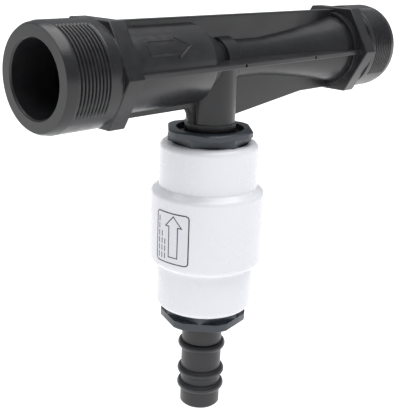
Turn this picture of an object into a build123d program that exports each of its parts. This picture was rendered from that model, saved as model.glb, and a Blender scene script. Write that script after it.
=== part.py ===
"""Two-inch fertilizer injector: a moulded venturi tee, a spring check valve and a hose barb.

X runs along the water flow, Z is up and the suction branch hangs down. The origin is on the
flow axis, at the shoulder where the inlet's pipe thread meets its hex. All sizes are in
millimetres.
"""
from math import cos, radians, sin
import os

from build123d import *

os.makedirs("parts", exist_ok=True)

# Clearances shared by the fits
thread_clearance = 0.05      # between a male thread and the bore that it screws into
slip_clearance = 0.3         # between pieces that only lie beside each other
slide_clearance = 0.08       # between the poppet's spindle and its guide
rest_gap = 0.05              # between faces of different bodies that bear on each other

# Venturi body, along the flow
pipe_thread_radius = 29.8    # two-inch male pipe thread, over its crests
inlet_thread_length = 35.9
outlet_thread_length = 33.0
thread_start_profile = (     # distance from the end face, depth under the crests
    (0.0, 1.7),
    (1.6, 0.7),
    (4.2, 0.5),
    (5.4, 0.0),
)
hex_across_flats = 58.2
hex_width = 11.4
hex_edge_chamfer = 0.5
inlet_drum_radius = 24.4
inlet_drum_length = 64.0
funnel_length = 22.8
funnel_end_radius = 12.8
funnel_bow = 0.4             # how far the funnel's side curves in from a straight cone
throat_ring_radius = 14.9
throat_ring_length = 11.4
neck_radius = 12.5
neck_length = 28.4
diffuser_length = 79.6
diffuser_end_radius = 23.0
diffuser_bow = 1.1           # how far the diffuser's side curves in from a straight cone
end_disc_radius = 26.0
end_disc_length = 4.2

# Venturi passage
pipe_bore_radius = 21.0
bore_edge_chamfer = 0.9
nozzle_radius = 7.2
nozzle_length = 28.0
nozzle_reach = 1.0           # how far the nozzle's tip passes the start of the throat ring
suction_chamber_radius = 10.6
suction_chamber_length = 6.5
diffuser_throat_radius = 8.6
neck_passage_radius = 9.2    # of the passage where the neck ends
disc_passage_radius = 18.0   # of the passage where the end disc starts

# Webs of the body
web_thickness = 5.0
web_height = 27.7            # from the flow axis to the upright web's straight edges
web_edge_radius = 0.6
fin_thickness = 3.0
fin_reach = 27.7
fin_edge_radius = 0.5
gusset_reach = 22.7          # how far the short gusset starts before the branch axis
gusset_foot_reach = 17.7
gusset_bow = 0.9             # how far the short gusset's edge curves in
long_gusset_reach = 90.0     # how far the long gusset runs beyond the branch axis
gusset_depth = 37.0
gate_notch_width = 1.8
gate_notch_depth = 1.2
gate_notch_offsets = (0.3, 70.8)

# Suction branch of the body
branch_offset = 0.3          # from the start of the throat ring to the branch's axis
branch_radius = 15.8
branch_length = 38.4
branch_thread_radius = 16.6
branch_thread_length = 18.0
branch_bore_radius = 12.0
branch_bore_roof = 19.0      # depth of the bore's blind end under the flow axis
suction_port_radius = 3.1

# Flow arrow raised on the inlet drum
arrow_length = 34.0
arrow_head_length = 12.8
arrow_shaft_width = 9.8
arrow_head_width = 15.0
arrow_line = 0.7
arrow_relief = 0.4
arrow_tilt = 34.5            # degrees up from the side of the drum
arrow_tip_gap = 16.4         # from the arrow's tip to the end of the drum

# Wrench hexes of both end fittings
fitting_across_flats = 53.3
fitting_corner_radius = 28.7 # over the rounded-off corners
inner_hex_radius = 27.0      # of the smaller hex between the wrench hex and the valve body
upper_hex_turn = 48.0        # degrees from +X to a corner of the upper wrench hex
lower_hex_turn = 9.0
half_hex_turn = 30.0         # from a corner of a hex to the middle of its side

# Upper end fitting
upper_hex_height = 3.9
upper_inner_hex_height = 5.1
fitting_top_chamfer = 0.8
collar_gap = 3.8             # from the end of the smooth branch down to the fitting
collar_recess_radius = 21.8
collar_recess_depth = 4.0
spigot_radius = 22.0
spigot_length = 15.0
flow_bore_radius = 12.5
gasket_thickness = 2.0

# Check valve body
valve_length = 112.6
valve_radius = 32.1
bulge_radius = 37.3
bulge_start = 28.5           # from the body's top face to the upper shoulder
shoulder_height = 3.6
bulge_length = 50.4          # with the upper shoulder and without the lower one
top_rim_radius = 3.8
bottom_rim_radius = 4.6
bulge_edge_radius = 4.0
valve_bore_radius = 20.5
seal_pocket_radius = 24.9
seal_section = 2.5

# Lower end fitting and hose barb
lower_hex_height = 5.3
lower_inner_hex_height = 5.2
fitting_bottom_chamfer = 0.5
lower_spigot_bore_radius = 14.0
barb_thread_radius = 13.2
barb_thread_length = 13.0
barb_ledge_height = 3.0
barb_radius = 13.7
barb_length = 65.5
barb_bore_radius = 10.0
barb_end_chamfer = 1.2
bead_profile = (             # distance from the bead's middle, height over the barb
    (2.9, 0.0),
    (2.5, 1.3),
    (1.4, 2.2),
    (0.5, 2.5),
)
bead_distances = (19.9, 39.8, 50.8)

# Valve mechanism
seat_flange_height = 3.0
seat_hub_radius = 15.5
seat_hub_height = 8.0
seat_bore_radius = 11.0
seat_land_width = 1.4
seat_land_height = 1.0
seat_seal_radius = 18.85      # over the sealing ring under the seat ring
poppet_radius = 15.0
poppet_thickness = 4.0
poppet_edge_chamfer = 0.8
poppet_pocket_depth = 1.4
poppet_travel = 8.0          # from the seat up to the end of the guide's hub
poppet_seal_thickness = 2.0
poppet_seal_radius = 13.8
poppet_seal_bore_radius = 6.0
retainer_radius = 9.6
retainer_thickness = 1.6
retainer_edge_chamfer = 0.8
retainer_shank_radius = 2.4
retainer_shank_length = 4.5
spindle_radius = 3.0
spindle_tip_chamfer = 0.6
spindle_overlap = 4.0        # how far the closed spindle stands above the guide
guide_rim_height = 2.0
guide_rim_width = 3.4
guide_hub_radius = 5.4
guide_rib_width = 2.4
guide_rib_height = 4.0
guide_rib_count = 3
spring_radius = 7.2
spring_wire_radius = 0.6
spring_turns = 7

# Label on the bulge
label_width = 25.4
label_height = 34.0
label_corner = 2.6
label_thickness = 0.15
label_direction = 187.0      # degrees round the valve from +X
label_top = 40.2             # from the body's top face to the label's upper edge

# Stations along the flow, from the shoulder at the inlet's hex
inlet_end_x = -inlet_thread_length
drum_x = hex_width
drum_end_x = drum_x + inlet_drum_length
ring_x = drum_end_x + funnel_length
branch_x = ring_x + branch_offset
nozzle_tip_x = ring_x + nozzle_reach
chamber_end_x = nozzle_tip_x + suction_chamber_length
ring_end_x = ring_x + throat_ring_length
diffuser_x = ring_end_x + neck_length
disc_x = diffuser_x + diffuser_length
outlet_hex_x = disc_x + end_disc_length
outlet_thread_x = outlet_hex_x + hex_width
outlet_end_x = outlet_thread_x + outlet_thread_length
web_start_x = hex_width / 2
web_end_x = outlet_hex_x + hex_width / 2

# Heights down the branch
branch_end_z = -branch_length
branch_thread_end_z = branch_end_z - branch_thread_length
stem_gasket_z = branch_thread_end_z - gasket_thickness
fitting_top_z = branch_end_z - collar_gap
upper_hex_z = fitting_top_z - upper_hex_height
valve_top_z = upper_hex_z - upper_inner_hex_height
valve_bottom_z = valve_top_z - valve_length
bulge_top_z = valve_top_z - bulge_start - shoulder_height
bulge_bottom_z = valve_top_z - bulge_start - bulge_length
spigot_end_z = valve_top_z - spigot_length
upper_shoulder_z = spigot_end_z - guide_rim_height
guide_rib_z = spigot_end_z - guide_rib_height
lower_spigot_end_z = valve_bottom_z + spigot_length
lower_shoulder_z = lower_spigot_end_z + seat_flange_height
seat_top_z = lower_shoulder_z + seat_hub_height
poppet_seal_z = seat_top_z + rest_gap
poppet_z = poppet_seal_z + poppet_seal_thickness - poppet_pocket_depth
poppet_top_z = poppet_z + poppet_thickness
guide_hub_z = poppet_top_z + poppet_travel + rest_gap
lower_fitting_bottom_z = valve_bottom_z - lower_inner_hex_height - lower_hex_height
barb_gasket_z = lower_fitting_bottom_z + barb_thread_length
barb_ledge_z = barb_gasket_z + gasket_thickness
barb_end_z = lower_fitting_bottom_z - barb_length
label_middle_z = valve_top_z - label_top - label_height / 2

branch_axis = Axis((branch_x, 0, 0), (0, 0, 1))


def level(z):
    """Horizontal plane centred on the branch at height z."""
    return Plane((branch_x, 0, z))


def branch_section():
    """Upright plane through the branch, whose local X is the distance from its axis."""
    return Plane((branch_x, 0, 0), x_dir=(1, 0, 0), z_dir=(0, -1, 0))


def thread_start(end_x, inward):
    """Chamfered start of a pipe thread, from its end face at end_x towards the hex."""
    return [(end_x + inward * x, pipe_thread_radius - depth) for x, depth in thread_start_profile]


# Raised outline arrow, curved with the drum, that shows which way the water flows
arrow_tip_x = drum_end_x - arrow_tip_gap
arrow_tail_x = arrow_tip_x - arrow_length
arrow_neck_x = arrow_tip_x - arrow_head_length
arrow_out = (0, -cos(radians(arrow_tilt)), sin(radians(arrow_tilt)))
with BuildPart() as flow_arrow:
    with BuildSketch(Plane((0, 0, 0), x_dir=(1, 0, 0), z_dir=arrow_out)):
        with BuildLine():
            Polyline(
                (arrow_tail_x, arrow_shaft_width / 2),
                (arrow_neck_x, arrow_shaft_width / 2),
                (arrow_neck_x, arrow_head_width / 2),
                (arrow_tip_x, 0),
                (arrow_neck_x, -arrow_head_width / 2),
                (arrow_neck_x, -arrow_shaft_width / 2),
                (arrow_tail_x, -arrow_shaft_width / 2),
                close=True,
            )
        make_face()
        offset(amount=-arrow_line, kind=Kind.INTERSECTION, mode=Mode.SUBTRACT)
    extrude(amount=2 * inlet_drum_radius)
    with BuildSketch(Plane.YZ.offset(drum_x)):
        Circle(inlet_drum_radius + arrow_relief)
    extrude(amount=inlet_drum_length, mode=Mode.INTERSECT)

# Upright web: level above, with a short gusset before the branch and a long one after it
with BuildPart() as upright_web:
    with BuildSketch(Plane.XZ):
        with BuildLine():
            gusset_foot = (branch_x - gusset_foot_reach, branch_end_z)
            gusset_head = (branch_x - gusset_reach, -web_height)
            Polyline(
                gusset_head,
                (web_start_x, -web_height),
                (web_start_x, web_height),
                (web_end_x, web_height),
                (web_end_x, -web_height),
                (branch_x + long_gusset_reach, -web_height),
                (branch_x + branch_radius, -gusset_depth),
                gusset_foot,
            )
            SagittaArc(gusset_foot, gusset_head, -gusset_bow)
        make_face()
    extrude(amount=web_thickness / 2, both=True)
    straight_edges = upright_web.faces().filter_by(Axis.Y).edges().filter_by(GeomType.LINE)
    fillet(straight_edges, web_edge_radius)

# Level fins at both sides, with rounded outer edges
with BuildPart() as level_fins:
    with BuildSketch(Plane.YZ.offset(web_start_x)):
        RectangleRounded(2 * fin_reach, fin_thickness, fin_edge_radius)
    extrude(amount=web_end_x - web_start_x)

# The tee is one black moulding: two hexes and pipe threads, drum, funnel, throat ring,
# diffuser, upright web with its gussets, level fins, and the threaded suction branch
with BuildPart() as injector_body:
    # Wrench hexes with broken edges, flats above and below
    with BuildSketch(Plane.YZ, Plane.YZ.offset(outlet_hex_x)):
        RegularPolygon(hex_across_flats / 2, 6, major_radius=False)
    extrude(amount=hex_width)
    chamfer(injector_body.edges(), hex_edge_chamfer)

    # Everything that is round about the flow axis
    with BuildSketch(Plane.XZ):
        with BuildLine():
            Polyline(
                (inlet_end_x, 0),
                *thread_start(inlet_end_x, 1),
                (0, pipe_thread_radius),
                (0, inlet_drum_radius),
                (drum_end_x, inlet_drum_radius),
            )
            SagittaArc(
                (drum_end_x, inlet_drum_radius), (ring_x, funnel_end_radius), -funnel_bow)
            Polyline(
                (ring_x, funnel_end_radius),
                (ring_x, throat_ring_radius),
                (ring_end_x, throat_ring_radius),
                (ring_end_x, neck_radius),
                (diffuser_x, neck_radius),
            )
            SagittaArc((diffuser_x, neck_radius), (disc_x, diffuser_end_radius), -diffuser_bow)
            Polyline(
                (disc_x, diffuser_end_radius),
                (disc_x, end_disc_radius),
                (outlet_thread_x, end_disc_radius),
                (outlet_thread_x, pipe_thread_radius),
                *reversed(thread_start(outlet_end_x, -1)),
                (outlet_end_x, 0),
                (inlet_end_x, 0),
            )
        make_face()
    revolve(axis=Axis.X)

    add(upright_web.part)
    add(level_fins.part)
    add(flow_arrow.part)

    # Suction branch with its male thread
    with BuildSketch(level(branch_end_z)):
        Circle(branch_radius)
    extrude(amount=branch_length)
    with BuildSketch(level(branch_thread_end_z)):
        Circle(branch_thread_radius)
    extrude(amount=branch_thread_length)

    # Converging nozzle, suction chamber and diverging passage
    with BuildSketch(Plane.XZ):
        with BuildLine():
            Polyline(
                (inlet_end_x, 0),
                (inlet_end_x, pipe_bore_radius + bore_edge_chamfer),
                (inlet_end_x + bore_edge_chamfer, pipe_bore_radius),
                (nozzle_tip_x - nozzle_length, pipe_bore_radius),
                (nozzle_tip_x, nozzle_radius),
                (nozzle_tip_x, suction_chamber_radius),
                (chamber_end_x, suction_chamber_radius),
                (chamber_end_x, diffuser_throat_radius),
                (diffuser_x, neck_passage_radius),
                (disc_x, disc_passage_radius),
                (outlet_hex_x, pipe_bore_radius),
                (outlet_end_x - bore_edge_chamfer, pipe_bore_radius),
                (outlet_end_x, pipe_bore_radius + bore_edge_chamfer),
                (outlet_end_x, 0),
                close=True,
            )
        make_face()
    revolve(axis=Axis.X, mode=Mode.SUBTRACT)

    # Blind bore of the branch and the narrow port from it up into the suction chamber
    with BuildSketch(level(branch_thread_end_z)):
        Circle(branch_bore_radius)
    extrude(amount=branch_length + branch_thread_length - branch_bore_roof, mode=Mode.SUBTRACT)
    with BuildSketch(Plane(((nozzle_tip_x + chamber_end_x) / 2, 0, -branch_bore_roof))):
        Circle(suction_port_radius)
    extrude(amount=branch_bore_roof, mode=Mode.SUBTRACT)

    # Small square notches that the mould's gates leave in the near fin's edge
    with BuildSketch(Plane.XZ.offset(fin_reach)):
        with Locations(*[(branch_x + x, 0) for x in gate_notch_offsets]):
            Rectangle(gate_notch_width, gate_notch_width)
    extrude(amount=-gate_notch_depth, mode=Mode.SUBTRACT)
injector_body.part.label = "injector_body"


def wrench_hex(corner_turn):
    """Hex with rounded-off corners, one of them turned by this angle from +X."""
    RegularPolygon(fitting_across_flats / 2, 6, major_radius=False, rotation=corner_turn)
    Circle(fitting_corner_radius, mode=Mode.INTERSECT)


def flat_ring(outer_radius, inner_radius, bottom_z, height):
    """Washer or square-cut sealing ring about the branch axis."""
    with BuildPart() as ring:
        with BuildSketch(level(bottom_z)):
            Circle(outer_radius)
            Circle(inner_radius, mode=Mode.SUBTRACT)
        extrude(amount=height)
    return ring.part


# Rubber washer that the branch's end presses against a ledge inside the upper fitting
stem_gasket = flat_ring(
    branch_thread_radius - slip_clearance, flow_bore_radius, stem_gasket_z, gasket_thickness)
stem_gasket.label = "stem_gasket"

# Upper end fitting: wrench hex with an open recess, smaller hex below it, threaded spigot
with BuildPart() as upper_end_fitting:
    with BuildSketch(level(upper_hex_z)):
        wrench_hex(upper_hex_turn)
    extrude(amount=upper_hex_height)
    chamfer(upper_end_fitting.edges().group_by(Axis.Z)[-1], fitting_top_chamfer)
    with BuildSketch(level(valve_top_z)):
        RegularPolygon(inner_hex_radius, 6, rotation=upper_hex_turn + half_hex_turn)
    extrude(amount=upper_inner_hex_height)
    with BuildSketch(level(spigot_end_z)):
        Circle(spigot_radius)
    extrude(amount=spigot_length)
    with BuildSketch(level(fitting_top_z)):
        Circle(collar_recess_radius)
    extrude(amount=-collar_recess_depth, mode=Mode.SUBTRACT)
    with BuildSketch(level(stem_gasket_z)):
        Circle(branch_thread_radius + thread_clearance)
    extrude(amount=fitting_top_z - stem_gasket_z, mode=Mode.SUBTRACT)
    with BuildSketch(level(spigot_end_z)):
        Circle(flow_bore_radius)
    extrude(amount=fitting_top_z - spigot_end_z, mode=Mode.SUBTRACT)
upper_end_fitting.part.label = "upper_end_fitting"

# Sealing rings in the pockets at both ends of the valve body
body_seal_radius = spigot_radius + thread_clearance
upper_body_seal = flat_ring(
    body_seal_radius + seal_section, body_seal_radius, valve_top_z - seal_section, seal_section)
upper_body_seal.label = "upper_body_seal"
lower_body_seal = flat_ring(
    body_seal_radius + seal_section, body_seal_radius, valve_bottom_z, seal_section)
lower_body_seal.label = "lower_body_seal"

# White valve body: one moulded barrel with a wider bulge, bored and threaded from both ends
spigot_bore_radius = spigot_radius + thread_clearance
with BuildPart() as valve_body:
    with BuildSketch(branch_section()):
        with BuildLine():
            FilletPolyline(
                (0, valve_top_z),
                (valve_radius, valve_top_z),
                (valve_radius, valve_top_z - bulge_start),
                (bulge_radius, bulge_top_z),
                (bulge_radius, bulge_bottom_z),
                (valve_radius, bulge_bottom_z - shoulder_height),
                (valve_radius, valve_bottom_z),
                (0, valve_bottom_z),
                radius=[
                    top_rim_radius,
                    0,
                    bulge_edge_radius,
                    bulge_edge_radius,
                    0,
                    bottom_rim_radius,
                ],
            )
            Line((0, valve_bottom_z), (0, valve_top_z))
        make_face()
    revolve(axis=branch_axis)
    with BuildSketch(branch_section()):
        with BuildLine():
            Polyline(
                (0, valve_top_z),
                (seal_pocket_radius, valve_top_z),
                (seal_pocket_radius, valve_top_z - seal_section),
                (spigot_bore_radius, valve_top_z - seal_section),
                (spigot_bore_radius, upper_shoulder_z),
                (valve_bore_radius, upper_shoulder_z),
                (valve_bore_radius, lower_shoulder_z),
                (spigot_bore_radius, lower_shoulder_z),
                (spigot_bore_radius, valve_bottom_z + seal_section),
                (seal_pocket_radius, valve_bottom_z + seal_section),
                (seal_pocket_radius, valve_bottom_z),
                (0, valve_bottom_z),
                close=True,
            )
        make_face()
    revolve(axis=branch_axis, mode=Mode.SUBTRACT)
valve_body.part.label = "valve_body"

# Spindle guide clamped under the upper spigot: a rim, three ribs and a long bored hub whose
# lower end stops the opening poppet
clamped_rim_radius = spigot_bore_radius - slip_clearance / 2
with BuildPart() as spring_guide:
    with BuildSketch(level(upper_shoulder_z)):
        Circle(clamped_rim_radius)
        Circle(clamped_rim_radius - guide_rim_width, mode=Mode.SUBTRACT)
    extrude(amount=guide_rim_height)
    with BuildSketch(level(guide_rib_z)):
        rib_length = clamped_rim_radius - guide_rim_width / 2
        with PolarLocations(rib_length / 2, guide_rib_count):
            Rectangle(rib_length, guide_rib_width)
    extrude(amount=guide_rib_height)
    with BuildSketch(level(guide_rib_z)):
        Circle(clamped_rim_radius)
        Circle(valve_bore_radius - slip_clearance, mode=Mode.SUBTRACT)
    extrude(amount=guide_rib_height - guide_rim_height, mode=Mode.SUBTRACT)
    with BuildSketch(level(guide_hub_z)):
        Circle(guide_hub_radius)
    extrude(amount=spigot_end_z - guide_hub_z)
    with BuildSketch(level(guide_hub_z)):
        Circle(spindle_radius + slide_clearance)
    extrude(amount=spigot_end_z - guide_hub_z, mode=Mode.SUBTRACT)
spring_guide.part.label = "spring_guide"

# Poppet: a disc with a tall spindle that slides in the guide, pocketed below for its seal
with BuildPart() as poppet:
    with BuildSketch(level(poppet_z)):
        Circle(poppet_radius)
    extrude(amount=poppet_thickness)
    chamfer(poppet.edges().group_by(Axis.Z)[-1], poppet_edge_chamfer)
    with BuildSketch(level(poppet_top_z)):
        Circle(spindle_radius)
    extrude(amount=spigot_end_z + spindle_overlap - poppet_top_z)
    chamfer(poppet.edges().group_by(Axis.Z)[-1], spindle_tip_chamfer)
    with BuildSketch(level(poppet_z)):
        Circle(poppet_seal_radius + slip_clearance)
        Circle(poppet_seal_bore_radius - slip_clearance, mode=Mode.SUBTRACT)
    extrude(amount=poppet_pocket_depth, mode=Mode.SUBTRACT)
    with BuildSketch(level(poppet_z)):
        Circle(retainer_shank_radius + thread_clearance)
    extrude(amount=retainer_shank_length, mode=Mode.SUBTRACT)
poppet.part.label = "poppet"

# Flat rubber face of the poppet
poppet_seal = flat_ring(
    poppet_seal_radius, poppet_seal_bore_radius, poppet_seal_z, poppet_seal_thickness)
poppet_seal.label = "poppet_seal"

# Button screw that holds the rubber face under the poppet and drops inside the seat
with BuildPart() as seal_retainer:
    with BuildSketch(level(poppet_seal_z)):
        Circle(retainer_radius)
    extrude(amount=-retainer_thickness)
    chamfer(seal_retainer.edges().group_by(Axis.Z)[0], retainer_edge_chamfer)
    with BuildSketch(level(poppet_seal_z)):
        Circle(retainer_shank_radius)
    extrude(amount=poppet_z - poppet_seal_z + retainer_shank_length - slip_clearance)
seal_retainer.part.label = "seal_retainer"

# Compression spring between the guide's ribs and the poppet
spring_foot_z = poppet_top_z + rest_gap + spring_wire_radius
spring_height = guide_rib_z - rest_gap - spring_wire_radius - spring_foot_z
with BuildPart() as valve_spring:
    with BuildLine():
        coil = Helix(
            pitch=spring_height / spring_turns,
            height=spring_height,
            radius=spring_radius,
            center=(branch_x, 0, spring_foot_z),
        )
    with BuildSketch(Plane(coil @ 0, z_dir=coil % 0)):
        RegularPolygon(spring_wire_radius, 6)
    sweep(path=coil, is_frenet=True)
valve_spring.part.label = "valve_spring"

# Seat ring clamped over the lower spigot: flange, raised hub and a narrow ring for the rubber
with BuildPart() as seat_ring:
    with BuildSketch(level(lower_spigot_end_z)):
        Circle(clamped_rim_radius)
    extrude(amount=seat_flange_height)
    with BuildSketch(level(lower_shoulder_z)):
        Circle(seat_hub_radius)
    extrude(amount=seat_hub_height - seat_land_height)
    with BuildSketch(level(seat_top_z - seat_land_height)):
        Circle(seat_bore_radius + seat_land_width)
    extrude(amount=seat_land_height)
    with BuildSketch(level(lower_spigot_end_z)):
        Circle(seat_bore_radius)
    extrude(amount=seat_flange_height + seat_hub_height, mode=Mode.SUBTRACT)
    with BuildSketch(level(lower_spigot_end_z)):
        Circle(seat_seal_radius + thread_clearance)
        Circle(seat_seal_radius - seal_section - thread_clearance, mode=Mode.SUBTRACT)
    extrude(amount=seal_section, mode=Mode.SUBTRACT)
seat_ring.part.label = "seat_ring"

# Sealing ring between the seat ring and the lower spigot
seat_ring_seal = flat_ring(
    seat_seal_radius, seat_seal_radius - seal_section, lower_spigot_end_z, seal_section)
seat_ring_seal.label = "seat_ring_seal"

# Lower end fitting: smaller hex against the valve body, wrench hex below, threaded spigot
with BuildPart() as lower_end_fitting:
    with BuildSketch(level(lower_fitting_bottom_z)):
        wrench_hex(lower_hex_turn)
    extrude(amount=lower_hex_height)
    chamfer(lower_end_fitting.edges().group_by(Axis.Z)[0], fitting_bottom_chamfer)
    with BuildSketch(level(valve_bottom_z - lower_inner_hex_height)):
        RegularPolygon(inner_hex_radius, 6, rotation=lower_hex_turn + half_hex_turn)
    extrude(amount=lower_inner_hex_height)
    with BuildSketch(level(valve_bottom_z)):
        Circle(spigot_radius)
    extrude(amount=spigot_length)
    with BuildSketch(level(lower_fitting_bottom_z)):
        Circle(barb_thread_radius + thread_clearance)
    extrude(amount=barb_ledge_z - lower_fitting_bottom_z, mode=Mode.SUBTRACT)
    with BuildSketch(level(barb_ledge_z)):
        Circle(barb_bore_radius)
    extrude(amount=barb_ledge_height, mode=Mode.SUBTRACT)
    with BuildSketch(level(barb_ledge_z + barb_ledge_height)):
        Circle(lower_spigot_bore_radius)
    extrude(amount=lower_spigot_end_z - barb_ledge_z - barb_ledge_height, mode=Mode.SUBTRACT)
lower_end_fitting.part.label = "lower_end_fitting"

# Rubber washer at the barb's threaded end
barb_gasket = flat_ring(
    barb_thread_radius - slip_clearance, barb_bore_radius, barb_gasket_z, gasket_thickness)
barb_gasket.label = "barb_gasket"

# Black hose barb: threaded end, plain tube, three rounded beads and a plain rounded tip
with BuildPart() as hose_barb:
    with BuildSketch(level(barb_end_z)):
        Circle(barb_radius)
    extrude(amount=barb_length)
    chamfer(hose_barb.edges().group_by(Axis.Z)[0], barb_end_chamfer)
    with BuildSketch(branch_section()):
        with Locations(*[(barb_radius, lower_fitting_bottom_z - d) for d in bead_distances]):
            upper_half = [(height, z) for z, height in bead_profile]
            lower_half = [(height, -z) for z, height in reversed(bead_profile)]
            Polygon(*upper_half, *lower_half, align=None)
    revolve(axis=branch_axis)
    with BuildSketch(level(lower_fitting_bottom_z)):
        Circle(barb_thread_radius)
    extrude(amount=barb_thread_length)
    with BuildSketch(level(barb_end_z)):
        Circle(barb_bore_radius)
    extrude(amount=barb_length + barb_thread_length, mode=Mode.SUBTRACT)
hose_barb.part.label = "hose_barb"

# Thin printed label wrapped round the bulge
label_out = (cos(radians(label_direction)), sin(radians(label_direction)), 0)
label_side = (-label_out[1], label_out[0], 0)
with BuildPart() as flow_label:
    with BuildSketch(level(label_middle_z - label_height / 2)):
        Circle(bulge_radius + label_thickness)
        Circle(bulge_radius, mode=Mode.SUBTRACT)
    extrude(amount=label_height)
    with BuildSketch(Plane((branch_x, 0, label_middle_z), x_dir=label_side, z_dir=label_out)):
        RectangleRounded(label_width, label_height, label_corner)
    extrude(amount=bulge_radius + 2 * label_thickness, mode=Mode.INTERSECT)
flow_label.part.label = "flow_label"

pieces = [
    injector_body.part,
    stem_gasket,
    upper_end_fitting.part,
    upper_body_seal,
    valve_body.part,
    spring_guide.part,
    valve_spring.part,
    poppet.part,
    poppet_seal,
    seal_retainer.part,
    seat_ring.part,
    seat_ring_seal,
    lower_body_seal,
    lower_end_fitting.part,
    barb_gasket,
    hose_barb.part,
    flow_label.part,
]
for piece in pieces:
    export_step(piece, f"parts/{piece.label}.step")
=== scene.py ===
from math import atan2, cos, hypot, pi, radians, sin, sqrt

import bmesh
import bpy
from mathutils import Matrix, Vector


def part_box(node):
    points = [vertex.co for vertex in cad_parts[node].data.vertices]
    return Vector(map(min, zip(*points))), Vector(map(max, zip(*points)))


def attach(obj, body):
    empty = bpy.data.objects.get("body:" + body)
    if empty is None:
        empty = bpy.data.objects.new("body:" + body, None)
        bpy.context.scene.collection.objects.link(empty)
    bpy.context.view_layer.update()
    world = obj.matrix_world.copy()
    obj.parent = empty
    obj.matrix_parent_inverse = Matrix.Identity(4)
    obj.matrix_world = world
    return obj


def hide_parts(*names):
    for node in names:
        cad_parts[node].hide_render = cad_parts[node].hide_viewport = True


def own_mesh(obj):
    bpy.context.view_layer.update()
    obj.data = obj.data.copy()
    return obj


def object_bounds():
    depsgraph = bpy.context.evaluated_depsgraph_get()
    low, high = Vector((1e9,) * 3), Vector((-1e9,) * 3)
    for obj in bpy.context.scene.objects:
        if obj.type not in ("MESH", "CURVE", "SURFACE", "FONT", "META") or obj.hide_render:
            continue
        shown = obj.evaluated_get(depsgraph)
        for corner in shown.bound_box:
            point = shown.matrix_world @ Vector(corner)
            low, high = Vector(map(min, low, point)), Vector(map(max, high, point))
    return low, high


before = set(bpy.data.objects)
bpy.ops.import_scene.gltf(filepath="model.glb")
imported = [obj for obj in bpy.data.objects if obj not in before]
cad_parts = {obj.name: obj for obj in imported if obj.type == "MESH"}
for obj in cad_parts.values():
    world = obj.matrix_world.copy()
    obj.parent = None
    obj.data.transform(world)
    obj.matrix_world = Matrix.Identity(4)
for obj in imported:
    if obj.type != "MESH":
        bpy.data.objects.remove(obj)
cad_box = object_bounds()


# Camera
# The camera stands low in front of the inlet and looks along the tee and slightly down, with
# its axes and focal length as they were worked out from the photograph.
camera_place = Vector((-0.28063, -0.34839, 0.06879))
camera_right = Vector((0.69085, -0.72213, 0.03552))
camera_up = Vector((0.19668, 0.23499, 0.95189))
camera_back = -Vector((0.69573, 0.65063, -0.30437))
photo_height = 412
focal_pixels = 819.33
sensor_height = 24.0

lens = bpy.data.cameras.new("camera")
lens.sensor_fit = "VERTICAL"
lens.sensor_height = sensor_height
lens.lens = focal_pixels / photo_height * sensor_height
camera = bpy.data.objects.new("camera", lens)
camera.matrix_world = Matrix.LocRotScale(
    camera_place, Matrix((camera_right, camera_up, camera_back)).transposed().to_quaternion(), None)
bpy.context.scene.collection.objects.link(camera)
bpy.context.scene.camera = camera


# Studio
# A plain white floor well below the hose barb, lit from straight above by one very wide soft
# light, with a dim pale sky that leaves the black plastic dark.
bpy.context.scene.view_settings.view_transform = "Standard"
floor_drop = 0.22
floor_half = 30.0

overhead = bpy.data.lights.new("overhead_light", "SUN")
overhead.energy = 3.5
overhead.angle = radians(70)
overhead_light = bpy.data.objects.new("overhead_light", overhead)
bpy.context.scene.collection.objects.link(overhead_light)

world = bpy.data.worlds.new("sky")
world.use_nodes = True
sky = world.node_tree.nodes["Background"]
sky.inputs["Color"].default_value = (0.95, 0.97, 1.0, 1)
sky.inputs["Strength"].default_value = 0.36
bpy.context.scene.world = world

floor_mesh = bpy.data.meshes.new("floor")
bm = bmesh.new()
bmesh.ops.create_grid(bm, x_segments=1, y_segments=1, size=floor_half)
bmesh.ops.translate(bm, verts=bm.verts, vec=(0, 0, cad_box[0].z - floor_drop))
bm.to_mesh(floor_mesh)
bm.free()
floor = bpy.data.objects.new("floor", floor_mesh)
bpy.context.scene.collection.objects.link(floor)


class Wire:
    """A value in a material. Arithmetic on it adds the Math nodes that work it out."""

    def __init__(self, tree, socket):
        self.tree = tree
        self.socket = socket

    def maths(self, operation, first, second):
        step = self.tree.nodes.new("ShaderNodeMath")
        step.operation = operation
        for value, socket in zip((first, second), step.inputs):
            if isinstance(value, Wire):
                self.tree.links.new(value.socket, socket)
            else:
                socket.default_value = value
        return Wire(self.tree, step.outputs[0])

    def __add__(self, other):
        return self.maths("ADD", self, other)

    def __radd__(self, other):
        return self.maths("ADD", other, self)

    def __sub__(self, other):
        return self.maths("SUBTRACT", self, other)

    def __rsub__(self, other):
        return self.maths("SUBTRACT", other, self)

    def __mul__(self, other):
        return self.maths("MULTIPLY", self, other)

    def __rmul__(self, other):
        return self.maths("MULTIPLY", other, self)

    def clamped(self):
        return self.maths("MINIMUM", self.maths("MAXIMUM", self, 0.0), 1.0)


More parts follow.
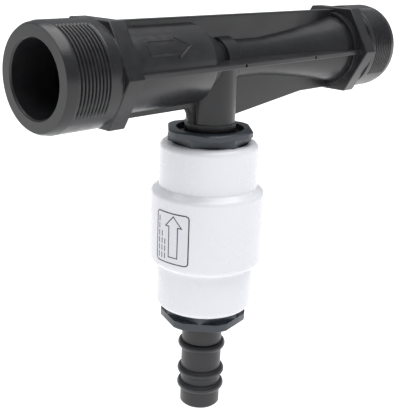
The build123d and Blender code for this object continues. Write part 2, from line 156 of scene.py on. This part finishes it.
class Finish:
    """A surface finish: a material whose shader nodes are all made by its node method."""

    def __init__(self, name):
        self.material = bpy.data.materials.new(name)
        self.material.use_nodes = True
        self.tree = self.material.node_tree
        self.tree.nodes.clear()

    def node(self, kind, settings=(), output=0, **values):
        """Makes one node, sets it up, then fills its sockets with values or links."""
        made = self.tree.nodes.new("ShaderNode" + kind)
        for setting, value in dict(settings).items():
            setattr(made, setting, value)
        for socket_name, value in values.items():
            index = socket_name.replace("_", " ")
            socket = made.inputs[int(index[1:])] if index[1:].isdigit() else made.inputs[index]
            if isinstance(value, Wire):
                self.tree.links.new(value.socket, socket)
            else:
                socket.default_value = value
        return Wire(self.tree, made.outputs[output])

    def ramp(self, factor, low, high):
        """0 below low, 1 above high and a smooth change between them."""
        return self.node("MapRange", {"interpolation_type": "SMOOTHSTEP"}, Value=factor,
                         From_Min=low, From_Max=high)

    def blend_colours(self, factor, first, second):
        """A colour between two others. Sockets 6 and 7 are the Mix node's two colours."""
        return self.node("Mix", {"data_type": "RGBA"}, output=2, _0=factor, _6=first, _7=second)

    def noise(self, place, scale, detail=3.0):
        """Cloudy noise between 0 and 1. The scale counts blobs in a metre."""
        return self.node("TexNoise", Vector=place, Scale=scale, Detail=detail)

    def finish(self, **values):
        """The surface shader itself, as the material's output."""
        shader = self.node("BsdfPrincipled", **values)
        out = self.tree.nodes.new("ShaderNodeOutputMaterial")
        self.tree.links.new(shader.socket, out.inputs["Surface"])
        return self.material


def moulded_plastic(name, colour, worn_colour, roughness, gloss, edge_blend=0.0005):
    """Injection-moulded plastic with softened edges, faint clouds, fine grain and rubbed edges."""
    made = Finish(name)
    place = made.node("TexCoord", output=3)
    clouds = made.noise(place, 45.0)
    grain = made.noise(place, 2600.0, 2.0)
    flow = made.noise(place, 210.0, 5.0)
    soft = made.node("Bevel", {"samples": 6}, Radius=edge_blend)
    plain = made.node("NewGeometry", output=1)
    turned = made.node("VectorMath", {"operation": "DOT_PRODUCT"}, output=1, _0=soft, _1=plain)
    edge = made.ramp(1.0 - turned, 0.01, 0.22) * made.ramp(flow, 0.3, 0.7)
    bump = made.node("Bump", Height=grain * 0.4 + flow * 0.6, Normal=soft,
                     Strength=0.12, Distance=0.0002)
    smudge = made.ramp(clouds * 0.5 + flow * 0.5, 0.42, 0.68)
    return made.finish(
        Base_Color=made.blend_colours((edge * 0.55 + smudge * 0.12).clamped(), colour, worn_colour),
        Roughness=(roughness + smudge * 0.10 + edge * 0.08).clamped(),
        Specular_IOR_Level=gloss, Normal=bump)


def merged_copy(node):
    """A new mesh with a CAD node's shape, its triangles joined at their corners."""
    bm = bmesh.new()
    bm.from_mesh(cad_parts[node].data)
    for layer in bm.loops.layers.float_vector.values() + bm.loops.layers.uv.values():
        if layer.name.startswith("custom_normal"):
            bm.loops.layers.float_vector.remove(layer)
    bmesh.ops.remove_doubles(bm, verts=bm.verts, dist=1e-6)
    return bm


def piece(name, bm, material, body, replaced=(), crease=30):
    """Makes a bmesh a finished piece that rides on a body and may stand for CAD nodes."""
    mesh = bpy.data.meshes.new(name)
    bm.to_mesh(mesh)
    bm.free()
    if "custom_normal" in mesh.attributes:
        mesh.attributes.remove(mesh.attributes["custom_normal"])
    mesh.materials.clear()
    mesh.materials.append(material)
    mesh.polygons.foreach_set("material_index", [0] * len(mesh.polygons))
    mesh.polygons.foreach_set("use_smooth", [True] * len(mesh.polygons))
    mesh.set_sharp_from_angle(angle=radians(crease))
    made = bpy.data.objects.new(name, mesh)
    bpy.context.scene.collection.objects.link(made)
    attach(made, body)
    if replaced:
        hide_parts(*replaced)
    return made


white_floor = Finish("studio_floor")
floor_mesh.materials.append(white_floor.finish(
    Base_Color=(0.9, 0.9, 0.9, 1), Roughness=1.0, Specular_IOR_Level=0.0,
    Emission_Color=(1, 1, 1, 1), Emission_Strength=0.12))


# Injector body
# One black polypropylene moulding. Its two-inch pipe threads are moulded in a split mould, so
# the grooves stop short of the parting lines on top and run out over a wider band below.
shoulder_x = 0.0
thread_radius = 0.0298
thread_pitch = 0.0254 / 11
groove_depth = 0.00115
thread_chamfer = 0.0054
groove_start = 0.0012         # from the end of the chamfer to the first groove
groove_end = 0.0222           # from the end of the chamfer to the smooth land
relief_width = 0.0012         # narrow groove between the land and the hex
relief_depth = 0.0005
top_band = radians(17)        # half of the smooth band on top
bottom_band = radians(52)     # half of the smooth band below
rings_per_turn = 9
corner_cuts = 3


def smooth_step(low, high, value):
    share = min(max((value - low) / (high - low), 0.0), 1.0)
    return share * share * (3 - 2 * share)


def groove(along, angle, length):
    """How deep the thread is cut, from 0 to 1, at a distance from the chamfer and an angle."""
    turn = (along / thread_pitch - angle / (2 * pi)) % 1.0
    cut = smooth_step(0.16, 0.42, 0.5 - abs(turn - 0.5))
    from_top = abs((angle - pi / 2 + pi) % (2 * pi) - pi)
    from_bottom = abs((angle + pi / 2 + pi) % (2 * pi) - pi)
    inside = smooth_step(top_band, top_band + 0.12, from_top)
    inside *= smooth_step(bottom_band, bottom_band + 0.12, from_bottom)
    inside *= smooth_step(groove_start - 0.0006, groove_start + 0.0006, along)
    inside *= 1 - smooth_step(groove_end - 0.0008, groove_end + 0.0008, along)
    relief = smooth_step(length - relief_width, length - relief_width + 0.0003, along)
    return cut * inside * groove_depth + relief * relief_depth


def ring_of_edges(bm, x):
    """The open edges of the thread's circle at a station along the flow."""
    def on_circle(vertex):
        return abs(vertex.co.x - x) < 1e-5 and abs(hypot(vertex.co.y, vertex.co.z) - thread_radius) < 2e-4
    return [edge for edge in bm.edges if edge.is_boundary and all(map(on_circle, edge.verts))]


def cut_thread(bm, start_x, end_x):
    """Swaps the plain cylinder between two stations for one with thread grooves."""
    low, high = sorted((start_x, end_x))
    plain = [
        face for face in bm.faces
        if all(low - 1e-5 < v.co.x < high + 1e-5 for v in face.verts)
        and all(abs(hypot(v.co.y, v.co.z) - thread_radius) < 1e-5 for v in face.verts)
        and abs(face.normal.x) < 0.5
    ]
    bmesh.ops.delete(bm, geom=plain, context="FACES")
    for x in (start_x, end_x):
        bmesh.ops.subdivide_edges(bm, edges=ring_of_edges(bm, x), cuts=corner_cuts)
        for edge in ring_of_edges(bm, x):
            for vertex in edge.verts:
                stretch = thread_radius / hypot(vertex.co.y, vertex.co.z)
                vertex.co.y *= stretch
                vertex.co.z *= stretch
    length = abs(end_x - start_x)
    rings = round(length / thread_pitch * rings_per_turn)
    edges = ring_of_edges(bm, start_x)
    for number in range(1, rings):
        made = bmesh.ops.extrude_edge_only(bm, edges=edges)["geom"]
        verts = [item for item in made if isinstance(item, bmesh.types.BMVert)]
        fresh = set(verts)
        edges = [
            item for item in made
            if isinstance(item, bmesh.types.BMEdge) and fresh.issuperset(item.verts)
        ]
        along = length * number / rings
        for vertex in verts:
            angle = atan2(vertex.co.z, vertex.co.y)
            reach = thread_radius - groove(along, angle, length)
            vertex.co = (
                start_x + (end_x - start_x) * number / rings, reach * cos(angle), reach * sin(angle))
    bmesh.ops.bridge_loops(bm, edges=edges + ring_of_edges(bm, end_x))


body_low, body_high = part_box("injector_body")
outlet_shoulder_x = body_high.x - 0.033
body = merged_copy("injector_body")
cut_thread(body, body_low.x + thread_chamfer, shoulder_x)
cut_thread(body, body_high.x - thread_chamfer, outlet_shoulder_x)
bmesh.ops.recalc_face_normals(body, faces=body.faces)
black_plastic = moulded_plastic(
    "black_polypropylene", (0.012, 0.012, 0.0135, 1), (0.05, 0.05, 0.055, 1), 0.30, 0.5)
piece("injector_tee", body, black_plastic, "housing", ["injector_body"])


# Seals and washers
# Plain black rubber rings and washers, square in section and held between the screwed pieces.
# They are inside the assembly, apart from the edges of the two rings at the valve's ends.
rubber = moulded_plastic(
    "seal_rubber", (0.018, 0.018, 0.018, 1), (0.03, 0.03, 0.03, 1), 0.55, 0.3, 0.0002)
for node in ("stem_gasket", "upper_body_seal", "seat_ring_seal", "lower_body_seal", "barb_gasket"):
    piece(node + "_rubber", merged_copy(node), rubber, "housing", [node])
piece("poppet_face", merged_copy("poppet_seal"), rubber, "poppet_assembly",
      ["poppet_seal"])


# End fittings
# Slate grey mouldings screwed into both ends of the valve body. Each has a wrench hex with
# rounded-off corners and a smaller hex against the body. The upper one holds the tee's
# branch and the lower one the hose barb.
slate_plastic = moulded_plastic(
    "slate_plastic", (0.036, 0.044, 0.056, 1), (0.10, 0.11, 0.13, 1), 0.36, 0.5)
piece("upper_fitting", merged_copy("upper_end_fitting"), slate_plastic, "housing",
      ["upper_end_fitting"])
piece("lower_fitting", merged_copy("lower_end_fitting"), slate_plastic, "housing",
      ["lower_end_fitting"])


# Valve body
# Glossy white plastic, moulded in one piece and bored from both ends. Its bulge leaves room
# for the flow round the poppet.
white_plastic = moulded_plastic(
    "white_plastic", (0.80, 0.80, 0.84, 1), (0.70, 0.70, 0.73, 1), 0.22, 0.5, 0.0008)
piece("white_valve_body", merged_copy("valve_body"), white_plastic, "housing",
      ["valve_body"])


# Valve mechanism
# The guide, poppet, seat and retainer are turned from natural acetal. The spring is bright
# stainless wire and pushes the poppet down on its seat.
natural_plastic = moulded_plastic(
    "natural_acetal", (0.62, 0.61, 0.56, 1), (0.5, 0.49, 0.45, 1), 0.35, 0.5, 0.0003)
for node in ("spring_guide", "seat_ring"):
    piece(node + "_acetal", merged_copy(node), natural_plastic, "housing", [node])
for node in ("poppet", "seal_retainer"):
    piece(node + "_acetal", merged_copy(node), natural_plastic, "poppet_assembly",
          [node])

steel = Finish("spring_steel")
steel_place = steel.node("TexCoord", output=3)
drawn = steel.noise(steel_place, 900.0)
spring_steel = steel.finish(
    Base_Color=steel.blend_colours(drawn, (0.5, 0.5, 0.51, 1), (0.68, 0.68, 0.7, 1)),
    Metallic=1.0, Roughness=0.2 + drawn * 0.15)

wire_radius = 0.00058
coil_radius = 0.0072
closed_turns = 1.0            # turns that lie flat at each end
open_turns = 5.0
steps_in_turn = 36
wire_sides = 12
spring_low, spring_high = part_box("valve_spring")
branch_x = (spring_low.x + spring_high.x) / 2
coil = bmesh.new()
foot = (branch_x + coil_radius, 0, spring_low.z + wire_radius)
bmesh.ops.create_circle(coil, segments=wire_sides, radius=wire_radius, cap_ends=True,
                        matrix=Matrix.Translation(foot) @ Matrix.Rotation(pi / 2, 4, "X"))
closed_rise = 2 * wire_radius * closed_turns
open_rise = spring_high.z - spring_low.z - 2 * wire_radius - 2 * closed_rise
end_face = coil.faces[:]
for turns, rise in ((closed_turns, closed_rise), (open_turns, open_rise), (closed_turns, closed_rise)):
    steps = round(turns * steps_in_turn)
    spun = bmesh.ops.spin(coil, geom=end_face, cent=(branch_x, 0, 0), axis=(0, 0, 1),
                          dvec=(0, 0, rise / steps), angle=2 * pi * turns, steps=steps,
                          use_merge=False)
    end_face = [item for item in spun["geom_last"] if isinstance(item, bmesh.types.BMFace)]
bmesh.ops.recalc_face_normals(coil, faces=coil.faces)
spring = piece("wire_spring", coil, spring_steel, "housing", ["valve_spring"], 50)
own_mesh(spring)


# Hose barb
# Black plastic with three rounded beads that grip the suction hose, screwed into the lower
# fitting. It is a little rougher than the tee.
barb_plastic = moulded_plastic(
    "barb_polypropylene", (0.014, 0.014, 0.016, 1), (0.05, 0.05, 0.055, 1), 0.36, 0.5)
piece("suction_hose_barb", merged_copy("hose_barb"), barb_plastic, "housing",
      ["hose_barb"])


# Label
# Thin white film wrapped round the bulge. Its print is an outline, an arrow that points with
# the flow and plain bars where small print would be.
label_turn = radians(187)
label_radius = 0.03745
label_middle = Vector((0.0985, 0, -0.1084))
label_half_width = 0.0127
label_half_height = 0.017
label_corner = 0.0026
frame_line = 0.00075
arrow_line = 0.0007
arrow_middle = 0.0015
arrow_half_head = 0.0069
arrow_half_shaft = 0.0037
arrow_tip = 0.0153
arrow_neck = 0.0076
arrow_foot = -0.0129
ink_height = 0.00004
ink_steps = 24


def ink_outline(ink, corners, line, blend=0.0):
    """Adds the closed line of a printed shape, drawn just inside its corners."""
    shape = bmesh.new()
    shape.faces.new([shape.verts.new((across, up, 0)) for across, up in corners])
    if blend:
        bmesh.ops.bevel(shape, geom=shape.verts, offset=blend, affect="VERTICES", segments=6,
                        profile=0.5, material=-1)
    shape.normal_update()
    inner = shape.faces[:]
    bmesh.ops.inset_region(
        shape, faces=inner, thickness=line, use_even_offset=True, use_boundary=True)
    bmesh.ops.delete(shape, geom=inner, context="FACES")
    add_shape(ink, shape)


def add_shape(ink, shape):
    """Moves the faces of one flat shape into the print."""
    holder = bpy.data.meshes.new("ink_shape")
    shape.to_mesh(holder)
    shape.free()
    ink.from_mesh(holder)
    bpy.data.meshes.remove(holder)


def ink_bar(ink, left, right, bottom, top):
    """Adds one plain printed bar."""
    shape = bmesh.new()
    shape.faces.new([shape.verts.new((across, up, 0)) for across, up in (
        (left, bottom), (right, bottom), (right, top), (left, top))])
    add_shape(ink, shape)


ink = bmesh.new()
ink_outline(ink, [
    (-label_half_width, -label_half_height), (label_half_width, -label_half_height),
    (label_half_width, label_half_height), (-label_half_width, label_half_height),
], frame_line, label_corner)
ink_outline(ink, [
    (arrow_middle - arrow_half_shaft, arrow_foot), (arrow_middle + arrow_half_shaft, arrow_foot),
    (arrow_middle + arrow_half_shaft, arrow_neck), (arrow_middle + arrow_half_head, arrow_neck),
    (arrow_middle, arrow_tip), (arrow_middle - arrow_half_head, arrow_neck),
    (arrow_middle - arrow_half_shaft, arrow_neck),
], arrow_line)
for bar in range(6):
    ink_bar(ink, -0.0106, -0.0099, -0.0145 + 0.0048 * bar, -0.0107 + 0.0048 * bar)
for bar in range(4):
    ink_bar(ink, -0.0080, -0.0073, -0.0145 + 0.0048 * bar, -0.0107 + 0.0048 * bar)
for bar in range(3):
    ink_bar(ink, -0.0054, -0.0047, -0.0145 + 0.0048 * bar, -0.0107 + 0.0048 * bar)
for step in range(1, ink_steps):
    across = label_half_width * (2 * step / ink_steps - 1)
    bmesh.ops.bisect_plane(ink, geom=ink.verts[:] + ink.edges[:] + ink.faces[:],
                           plane_co=(across, 0, 0), plane_no=(1, 0, 0))
out = Vector((cos(label_turn), sin(label_turn), 0))
side = Vector((-sin(label_turn), cos(label_turn), 0))
ink_radius = label_radius + ink_height
for vertex in ink.verts:
    across, up = vertex.co.x, vertex.co.y
    vertex.co = label_middle + side * across + out * sqrt(ink_radius ** 2 - across ** 2)
    vertex.co.z += up
bmesh.ops.recalc_face_normals(ink, faces=ink.faces)

film = Finish("label_film")
film_place = film.node("TexCoord", output=3)
film_cloud = film.noise(film_place, 300.0)
label_film = film.finish(
    Base_Color=film.blend_colours(film_cloud, (0.72, 0.72, 0.77, 1), (0.78, 0.78, 0.82, 1)),
    Roughness=0.28 + film_cloud * 0.1)
piece("label_sheet", merged_copy("flow_label"), label_film, "housing", ["flow_label"])

black_ink = Finish("black_ink")
ink_place = black_ink.node("TexCoord", output=3)
ink_cloud = black_ink.noise(ink_place, 700.0)
ink_material = black_ink.finish(
    Base_Color=black_ink.blend_colours(ink_cloud, (0.015, 0.015, 0.022, 1), (0.035, 0.035, 0.045, 1)),
    Roughness=0.4 + ink_cloud * 0.1)
piece("label_print", ink, ink_material, "housing")
